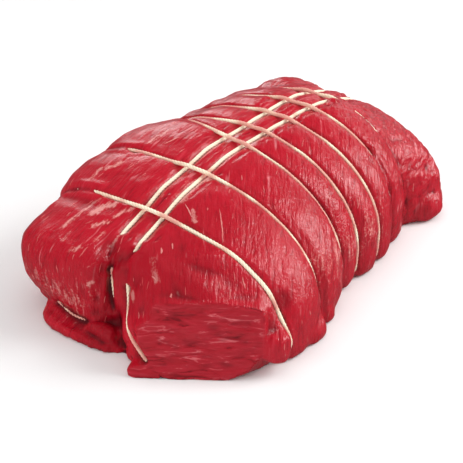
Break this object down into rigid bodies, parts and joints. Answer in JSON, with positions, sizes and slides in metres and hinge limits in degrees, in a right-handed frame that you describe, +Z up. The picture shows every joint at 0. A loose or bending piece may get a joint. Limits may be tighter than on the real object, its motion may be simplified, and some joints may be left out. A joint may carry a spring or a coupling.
{
  "type": "raw beef roasting joint tied with string",
  "caption": "Boneless raw beef joint, folded into two lobes at one end and trussed with cotton string across and along.",
  "frame": {"origin": "under the middle of the joint's box, on the plane it lies on", "axes": "+Z up, Y along the joint, with the cleft end towards -Y and the flat tail end towards +Y"},
  "size_m": [0.183, 0.27, 0.0833],
  "materials": {
    "raw_beef": "moist raw lean beef, satin with small wet glints",
    "cotton_string": "twisted undyed cotton, matt"
  },
  "bodies": {
    "root": {"beef_joint": "raw_beef", "girth_string_1": "cotton_string", "girth_string_2": "cotton_string", "girth_string_3": "cotton_string", "girth_string_4": "cotton_string", "girth_string_5": "cotton_string", "girth_string_6": "cotton_string", "girth_string_7": "cotton_string", "long_string_left": "cotton_string", "long_string_right": "cotton_string", "waist_string": "cotton_string"}
  },
  "joints": []
}
